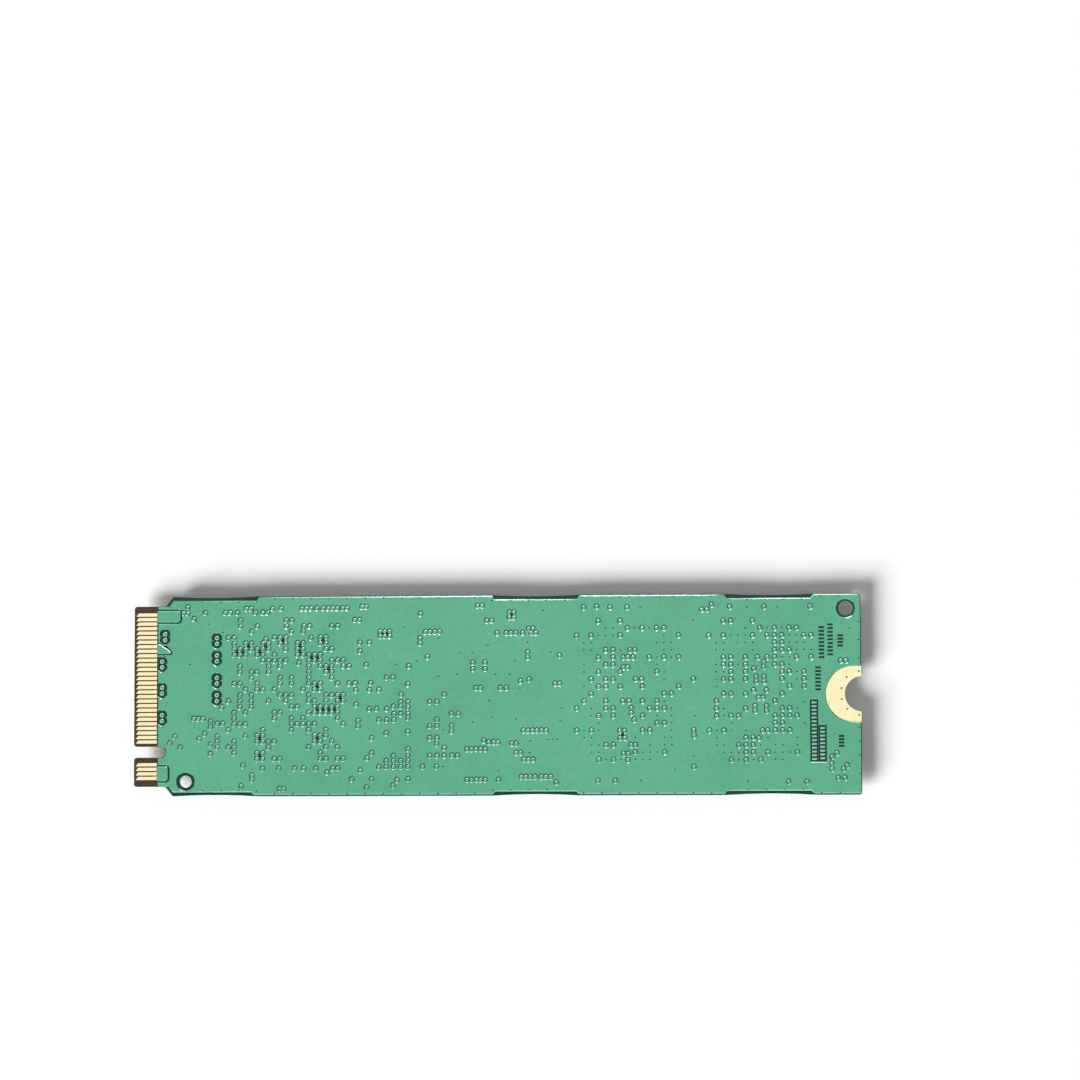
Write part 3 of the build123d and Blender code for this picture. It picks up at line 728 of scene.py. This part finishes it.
def add_clearances(bm, places, floor_radius, top_radius, sides, width_share=1.0):
    """Cutters of ring-shaped clearances that go through the copper with leaning walls."""
    growth = (top_radius - floor_radius) / FOIL * CUT_MARGIN
    for place in places:
        add_cone(bm, place, LAMINATE_TOP - CUT_MARGIN, FOIL_TOP + CUT_MARGIN,
                 floor_radius - growth, top_radius + growth, sides, width_share)


def add_bar(bm, place, length, width, floor, top, lean):
    """A bar with leaning sides between two heights."""
    made = bmesh.ops.create_cube(bm, size=1.0)["verts"]
    bmesh.ops.scale(bm, verts=made, vec=(length, width, top - floor))
    upper = [vert for vert in made if vert.co.z > 0]
    bmesh.ops.scale(bm, verts=upper, vec=((length + 2 * lean) / length, (width + 2 * lean) / width, 1.0))
    bmesh.ops.translate(bm, verts=made, vec=(place[0], place[1], (floor + top) / 2))


def mark_places(columns):
    """Places of plain marks that stand in columns."""
    return [(CONTACT_EDGE + along, first - number * pitch)
            for along, first, count, pitch in columns for number in range(count)]


def copper_cutters(node, with_marks):
    """Cutters of everything etched through or sunk into a node's copper, drawn for the bare side."""
    bm = bmesh.new()
    reach = node_box(node)[1].x
    vias, stars, dots = ([place for place in places if place[0] < reach]
                         for places in (VIA_PLACES, STAR_PLACES, DOT_PLACES))
    add_clearances(bm, vias, CLEARANCE_FLOOR_RADIUS, CLEARANCE_TOP_RADIUS, VIA_SIDES,
                   CLEARANCE_WIDTH_SHARE)
    # Clearance walls get painted shade; on the bare side, low walls that face the glinting lamp lose it
    # again
    for face in bm.faces:
        face.material_index = SHADED_WALL
    add_clearances(bm, stars, STAR_RADIUS - STAR_LEAN, STAR_RADIUS, SMALL_SIDES)
    if with_marks:
        add_clearances(bm, LANE_PLACES, LANE_FLOOR_RADIUS, LANE_TOP_RADIUS, LANE_SIDES)
        for place in mark_places(DASH_COLUMNS):
            add_bar(bm, place, DASH_LENGTH, DASH_WIDTH,
                    LAMINATE_TOP - CUT_MARGIN, FOIL_TOP + CUT_MARGIN, DASH_LEAN)
    for place in dots:
        add_cone(bm, place, FOIL_TOP - DOT_DEPTH_SHARE * FOIL, FOIL_TOP + CUT_MARGIN,
                 DOT_FLOOR_RADIUS, DOT_TOP_RADIUS, SMALL_SIDES)
    return bm


def turn_over(bm):
    """Moves what was drawn for the bare side to the chip side, as a mirror image."""
    bmesh.ops.scale(bm, verts=bm.verts, vec=(1.0, 1.0, -1.0))
    bmesh.ops.translate(bm, verts=bm.verts, vec=(0.0, 0.0, FOIL_TOP + FOIL_BASE))
    bmesh.ops.reverse_faces(bm, faces=bm.faces)


def cut(bm, cutters, turned_over=False):
    """The mesh with the cutters taken out; cut walls with no shade of their own are dark."""
    if turned_over:
        turn_over(cutters)
    for face in cutters.faces:
        face.material_index = face.material_index or DARK
    pair = []
    for part in (bm, cutters):
        mesh = bpy.data.meshes.new("cutting")
        part.to_mesh(mesh)
        part.free()
        for material in MASK_SHADES:
            mesh.materials.append(material)
        pair.append(bpy.data.objects.new("cutting", mesh))
        bpy.context.scene.collection.objects.link(pair[-1])
    modifier = pair[0].modifiers.new("cut", "BOOLEAN")
    modifier.operation = "DIFFERENCE"
    modifier.solver = "EXACT"
    modifier.use_self = True
    modifier.object = pair[1]
    seen = pair[0].evaluated_get(bpy.context.evaluated_depsgraph_get())
    result = bmesh.new()
    result.from_mesh(seen.to_mesh())
    seen.to_mesh_clear()
    for thing in pair:
        mesh = thing.data
        bpy.data.objects.remove(thing)
        bpy.data.meshes.remove(mesh)
    return result


def land_mesh(profile, shaded_from):
    """One via land turned from its profile; its middle, and its low side as painted shade, take the second
    material.
    """
    bm = bmesh.new()
    points = [bm.verts.new((radius, 0.0, LAMINATE_TOP + share * FOIL)) for radius, share in profile]
    edges = [bm.edges.new(pair) for pair in zip(points, points[1:])]
    bmesh.ops.spin(bm, geom=points + edges, axis=(0, 0, 1), cent=(0, 0, 0), angle=math.tau,
                   steps=VIA_SIDES, use_merge=True)
    bmesh.ops.remove_doubles(bm, verts=bm.verts, dist=1e-5)
    bmesh.ops.recalc_face_normals(bm, faces=bm.faces)
    sunk = profile[-2][0] * LAND_SUNK_SHARE
    for face in bm.faces:
        if face.normal.z < 0:
            face.normal_flip()
        reach = face.calc_center_median().xy.length
        shaded = reach > shaded_from and face.normal.y < LAND_LOW_SIDE
        face.material_index = int(reach < sunk or shaded)
    mesh = bpy.data.meshes.new("land")
    bm.to_mesh(mesh)
    bm.free()
    return mesh


def lands(places, profile, shaded_from, turned_over=False):
    """Via lands at the places given, on the bare side or turned over on the chip side."""
    bm = bmesh.new()
    mesh = land_mesh(profile, shaded_from)
    for x, y in places:
        first = len(bm.verts)
        bm.from_mesh(mesh)
        bm.verts.ensure_lookup_table()
        bmesh.ops.translate(bm, verts=bm.verts[first:], vec=(x, y, 0.0))
    bpy.data.meshes.remove(mesh)
    if turned_over:
        turn_over(bm)
    return bm


def rim_shade(face):
    """Which of the mask's shades a face of the uncut copper gets, with painted light and shade."""
    place = face.calc_center_median()
    leaning = abs(face.normal.z) < FLAT_FACE
    # The wall of the low edge is painted dark, a darker line along that edge
    if leaning and on_low_rim(place, face.normal):
        return DARK
    # A painted highlight in a band along the low edge and on walls near it that face that way
    strip_wall = leaning and face.normal.y < LOW_STRIP_FACE and place.y < LOW_STRIP_BAND - LONG_EDGE
    if strip_wall or place.y < HIGHLIGHT_BAND - LONG_EDGE:
        return PAINTED_HIGHLIGHT
    # Walls inside that face away from the glinting lamp get painted shade
    inside = abs(place.y) < LONG_EDGE - KEEP_BACK_REACH
    low_side = abs(face.normal.z) < STEEP_FACE and face.normal.y < LOW_SIDE_FACE
    return DARK if inside and low_side else EVEN


def copper_field(node, name, outer_height, with_marks=False, turned_over=False):
    """A copper layer under mask, with leaning walls and its clearances, in place of its node."""
    bm = merged_copy(node)
    slant_keep_backs(bm)
    lean_walls(bm, outer_height, LEAN_ALONG, LEAN_ACROSS, RIM_LEAN)
    bmesh.ops.bisect_plane(bm, geom=bm.verts[:] + bm.edges[:] + bm.faces[:], dist=1e-4,
                           plane_co=(0.0, HIGHLIGHT_BAND - LONG_EDGE, 0.0), plane_no=(0.0, 1.0, 0.0))
    bm.normal_update()
    for face in bm.faces:
        face.material_index = rim_shade(face)
    field = cut(bm, copper_cutters(node, with_marks), turned_over)
    field.normal_update()
    if not turned_over:
        # Low walls that face the glinting lamp keep the even shade instead of painted shade
        for face in field.faces:
            depth = abs(face.calc_center_median().z - outer_height)
            low = depth > LIT_DEPTH_SHARE * FOIL
            if low and face.normal.y > LIT_FACE and face.material_index in (DARK, SHADED_WALL):
                face.material_index = EVEN
    return finish_piece(field, name, MASK_SHADES, (node,), flat_tops=True)


def make_screw_pad(node, name, outer_height, turned_over=False):
    """Gold pad round the screw notch, with tiny filled vias sunk in it."""
    bm = merged_copy(node)
    lean_walls(bm, outer_height, PAD_LEAN, PAD_LEAN, PAD_LEAN)
    cutters = bmesh.new()
    for along, across in PAD_VIAS:
        add_cone(cutters, (CONTACT_EDGE + along, across), FOIL_TOP - PAD_VIA_DEPTH_SHARE * FOIL,
                 FOIL_TOP + CUT_MARGIN, PAD_VIA_FLOOR_RADIUS, PAD_VIA_TOP_RADIUS, PAD_VIA_SIDES)
    pad = cut(bm, cutters, turned_over)
    return finish_piece(pad, name, (GOLD, PAD_HOLE), (node,), flat_tops=True)


def is_sharp(edge):
    """Whether two faces meet at the edge in a clear corner."""
    return len(edge.link_faces) == 2 and edge.calc_face_angle() >= math.radians(SHARP_FROM)


def lies_at(edge, height):
    """Whether both ends of an edge lie at the height given."""
    return sum(abs(vert.co.z - height) for vert in edge.verts) <= HEIGHT_TOLERANCE


def side_faces(bm):
    """The faces at the sides of a node's pieces."""
    return [face for face in bm.faces if abs(face.normal.z) < STEEP_FACE]


def dimple_faces(bm):
    """The floor of the dimple in a cap's lowest face."""
    floor = min(vert.co.z for vert in bm.verts) + DIMPLE_FLOOR_RISE
    return [face for face in bm.faces
            if face.normal.z < -STEEP_FACE and face.calc_center_median().z > floor]


def rounded_copy(node, name, materials, radius, picked=None, outer_height=None):
    """A node's pieces with their sharp edges rounded, in place of the node.

    The faces that are picked get the second material. With an outer height, only the edges at
    that height are rounded.
    """
    bm = merged_copy(node)
    bmesh.ops.dissolve_limit(bm, angle_limit=math.radians(0.5), verts=bm.verts, edges=bm.edges)
    bm.normal_update()
    edges = [edge for edge in bm.edges
             if is_sharp(edge) and (outer_height is None or lies_at(edge, outer_height))]
    bmesh.ops.bevel(bm, geom=edges, offset=radius, offset_type="OFFSET", affect="EDGES",
                    segments=ROUND_SEGMENTS, profile=0.5, material=-1, clamp_overlap=True)
    if picked is not None:
        bm.normal_update()
        for face in picked(bm):
            face.material_index = 1
    return finish_piece(bm, name, materials, (node,), flat_tops=True)


def joined_verts(start):
    """A vertex and all that hang together with it."""
    joined = {start}
    reach = [start]
    while reach:
        vert = reach.pop()
        for edge in vert.link_edges:
            other = edge.other_vert(vert)
            if other not in joined:
                joined.add(other)
                reach.append(other)
    return joined


def solder_balls(node, name):
    """Round solder balls in place of a node's ball grid."""
    source = merged_copy(node)
    bm = bmesh.new()
    done = set()
    for start in source.verts:
        if start in done:
            continue
        ball = joined_verts(start)
        done |= ball
        low = Vector([min(vert.co[axis] for vert in ball) for axis in range(3)])
        high = Vector([max(vert.co[axis] for vert in ball) for axis in range(3)])
        size = high - low
        size.z *= BALL_STRETCH
        place = Matrix.Translation((low + high) / 2) @ Matrix.Diagonal((*size, 1.0))
        bmesh.ops.create_uvsphere(bm, u_segments=8, v_segments=6, radius=0.5, matrix=place)
    source.free()
    return finish_piece(bm, name, (SOLDER,), (node,), crease=60.0)


def make_bare_side():
    """Everything seen from above: copper under mask, via lands, marks, contacts and screw pad."""
    copper_field("bare_side_ground_copper", "etched_ground_copper", FOIL_TOP, with_marks=True)
    copper_field("bare_side_supply_copper", "etched_supply_copper", FOIL_TOP)
    # Via lands carry painted shade on their low side
    finish_piece(lands(VIA_PLACES, LAND_PROFILE, LAND_SHADED_FROM), "via_lands",
                 (MASK_ON_LAND_AND_HIGHLIGHT, MASK_ON_HOLE_AND_SHADE), crease=35.0)
    finish_piece(lands(LANE_PLACES, LANE_LAND_PROFILE, LAND_UNSHADED), "lane_lands",
                 (MASK_ON_LAND_AND_HIGHLIGHT, MASK_ON_LAMINATE_AND_SHADE), ("lane_via_lands",), crease=35.0)
    ticks = bmesh.new()
    for place in mark_places(TICK_COLUMNS):
        add_bar(ticks, place, TICK_LENGTH, TICK_WIDTH, LAMINATE_TOP, FOIL_TOP - TICK_DROP, TICK_LEAN)
    finish_piece(ticks, "window_ticks", (MASK_ON_LAND_AND_HIGHLIGHT,), crease=12.0, flat_tops=True)
    # The contacts' sides get the darker gold, painted shade
    rounded_copy("bare_side_contacts", "bare_side_fingers", (GOLD, GOLD_SIDE_SHADE),
                 FINGER_ROUND, side_faces, FOIL_TOP)
    make_screw_pad("bare_side_screw_pad", "bare_side_pad", FOIL_TOP)


def make_chip_side():
    """Everything under the card: copper under mask, contacts, screw pad and the soldered parts."""
    copper_field("chip_side_ground_copper", "etched_chip_side_copper", FOIL_BASE, turned_over=True)
    finish_piece(lands(VIA_PLACES, LAND_PROFILE, LAND_UNSHADED, turned_over=True),
                 "chip_side_via_lands", (MASK_ON_COPPER, MASK_ON_LAMINATE_AND_SHADE), crease=35.0)
    # The contacts' sides get the darker gold, painted shade
    rounded_copy("chip_side_contacts", "chip_side_fingers", (GOLD, GOLD_SIDE_SHADE),
                 FINGER_ROUND, side_faces, FOIL_BASE)
    make_screw_pad("chip_side_screw_pad", "chip_side_pad", FOIL_BASE, turned_over=True)
    for package in ("controller", "dram", "nand_1", "nand_2"):
        rounded_copy(package + "_cap", package + "_moulded_cap", (BLACK_MOULD, DIMPLE_MOULD),
                     CAP_ROUND, dimple_faces)
        rounded_copy(package + "_substrate", package + "_base", (PACKAGE_BASE,),
                     PACKAGE_BASE_ROUND)
        solder_balls(package + "_balls", package + "_solder_balls")
    # Node, piece, finish, slot and radius of the rounded edges
    for node, name, material, slot, radius in (
        ("power_chip_body", "power_chip_mould", BLACK_MOULD, "black_mould", 0.06),
        ("load_switch_body", "load_switch_mould", BLACK_MOULD, "black_mould", 0.05),
        ("power_chip_leads", "power_chip_feet", TIN, "tinned_metal", 0.015),
        ("load_switch_leads", "load_switch_feet", TIN, "tinned_metal", 0.015),
        ("inductor_bodies", "inductor_cores", FERRITE, "inductor_grey", 0.12),
        ("inductor_terminals", "inductor_ends", TIN, "tinned_metal", 0.03),
        ("crystal_base", "crystal_case", CRYSTAL_CERAMIC, "crystal_ceramic", 0.06),
        ("crystal_lid", "crystal_cover", CRYSTAL_CAN, "crystal_can", 0.06),
        ("crystal_pads", "crystal_feet", TIN, "tinned_metal", 0.015),
        ("bulk_capacitor_bodies", "bulk_capacitor_blocks", CAPACITOR_TAN, "capacitor_ceramic", 0.06),
        ("bulk_capacitor_terminals", "bulk_capacitor_ends", TIN, "tinned_metal", 0.08),
        ("small_capacitor_bodies", "small_capacitor_blocks", CAPACITOR_TAN, "capacitor_ceramic", 0.03),
        ("small_capacitor_terminals", "small_capacitor_ends", TIN, "tinned_metal", 0.05),
        ("resistor_bodies", "resistor_blocks", RESISTOR_BLACK, "resistor_film", 0.03),
        ("resistor_terminals", "resistor_ends", TIN, "tinned_metal", 0.04),
    ):
        rounded_copy(node, name, (material,), radius)


def dress_board():
    """The laminate keeps its CAD shape and gets its finish."""
    mesh = nodes["circuit_board"].data
    mesh.materials.clear()
    mesh.materials.append(LAMINATE)


def seen_directly(tree):
    """Socket that is one for camera, mirror and glass rays, and nought for the rest."""
    path = add_node(tree, "ShaderNodeLightPath").outputs
    mirror = maths(tree, "MAXIMUM", path["Is Camera Ray"], path["Is Glossy Ray"])
    return maths(tree, "MAXIMUM", mirror, path["Is Transmission Ray"])


def floor_opening(tree):
    """Socket that is one where the floor is clear: from below, to the lamp below, and in mirrors."""
    back = add_node(tree, "ShaderNodeNewGeometry").outputs["Backfacing"]
    path = add_node(tree, "ShaderNodeLightPath").outputs
    # A mirror that only lights the floor still sees it, so that the card's shadow stays grey
    straight = maths(tree, "LESS_THAN", path["Diffuse Depth"], 0.5)
    mirrored = maths(tree, "MULTIPLY", path["Is Glossy Ray"], straight)
    return maths(tree, "MAXIMUM", back, maths(tree, "MAXIMUM", path["Is Shadow Ray"], mirrored))


def make_floor():
    """Plain white floor that keeps the card's shadow and hides nothing from below."""
    bm = bmesh.new()
    bmesh.ops.create_grid(bm, x_segments=1, y_segments=1, size=FLOOR_REACH * MM)
    bmesh.ops.translate(bm, verts=bm.verts, vec=(0.0, 0.0, -FLOOR_DROP * MM))
    mesh = bpy.data.meshes.new("floor")
    bm.to_mesh(mesh)
    bm.free()
    material = bpy.data.materials.new("white_floor")
    material.use_nodes = True
    tree = material.node_tree
    tree.nodes.clear()
    matt = add_node(tree, "ShaderNodeBsdfDiffuse", {"Color": FLOOR_WHITE})
    strength = maths(tree, "MULTIPLY", seen_directly(tree), FLOOR_LIFT)
    lift = add_node(tree, "ShaderNodeEmission", {"Strength": strength})
    both = add_node(tree, "ShaderNodeAddShader", {0: matt.outputs[0], 1: lift.outputs[0]})
    clear = add_node(tree, "ShaderNodeBsdfTransparent")
    result = add_node(tree, "ShaderNodeMixShader", {
        0: floor_opening(tree), 1: both.outputs[0], 2: clear.outputs[0]})
    add_node(tree, "ShaderNodeOutputMaterial", {"Surface": result.outputs[0]})
    mesh.materials.append(material)
    floor = bpy.data.objects.new("floor", mesh)
    bpy.context.scene.collection.objects.link(floor)


def towards(direction):
    """Turn of a lamp that shines in the direction given."""
    return Vector(direction).to_track_quat("-Z", "Y").to_euler()


def far_lamp(name, strength, angle, turn):
    """A soft lamp far away, with the turn given, that leaves no glint."""
    light = bpy.data.lights.new(name, "SUN")
    light.energy = strength
    light.angle = math.radians(angle)
    lamp = bpy.data.objects.new(name, light)
    lamp.rotation_euler = turn
    lamp.visible_glossy = False
    return lamp


def make_light():
    """Soft key from the contact end, a small lamp beyond the far edge, one below, and a pale room."""
    key_lamp = far_lamp("key", KEY_STRENGTH, KEY_ANGLE, towards(KEY_TRAVEL))
    under_lamp = far_lamp("under", UNDER_STRENGTH, UNDER_ANGLE, (math.pi, 0.0, 0.0))
    under_lamp.data.cycles.max_bounces = 0
    glint = bpy.data.lights.new("glint", "AREA")
    glint.shape = "RECTANGLE"
    glint.size = GLINT_SIZE[0] * MM
    glint.size_y = GLINT_SIZE[1] * MM
    glint.energy = GLINT_POWER
    glint_lamp = bpy.data.objects.new("glint", glint)
    glint_lamp.location = Vector(GLINT_PLACE) * MM
    glint_lamp.rotation_euler = towards(-Vector(GLINT_PLACE))
    glint_lamp.visible_diffuse = False
    for lamp in (key_lamp, glint_lamp, under_lamp):
        bpy.context.scene.collection.objects.link(lamp)
    world = bpy.data.worlds.new("room")
    bpy.context.scene.world = world
    world.use_nodes = True
    tree = world.node_tree
    strength = add_node(tree, "ShaderNodeMapRange", {
        "Value": seen_directly(tree), "To Min": ROOM_FILL, "To Max": 1.0})
    background = tree.nodes["Background"]
    background.inputs["Color"].default_value = (1.0, 1.0, 1.0, 1.0)
    tree.links.new(strength.outputs[0], background.inputs["Strength"])


def make_camera():
    """Camera above the card."""
    lens = bpy.data.cameras.new("camera")
    lens.lens = CAMERA_LENS
    lens.sensor_width = 36.0
    lens.clip_start = 0.01
    camera = bpy.data.objects.new("camera", lens)
    camera.location = Vector(CAMERA_PLACE) * MM
    camera.rotation_euler = [math.radians(turn) for turn in CAMERA_TURN]
    bpy.context.scene.collection.objects.link(camera)
    bpy.context.scene.camera = camera


make_bare_side()
make_chip_side()
dress_board()
make_floor()
make_light()
make_camera()
bpy.context.scene.view_settings.view_transform = "Standard"
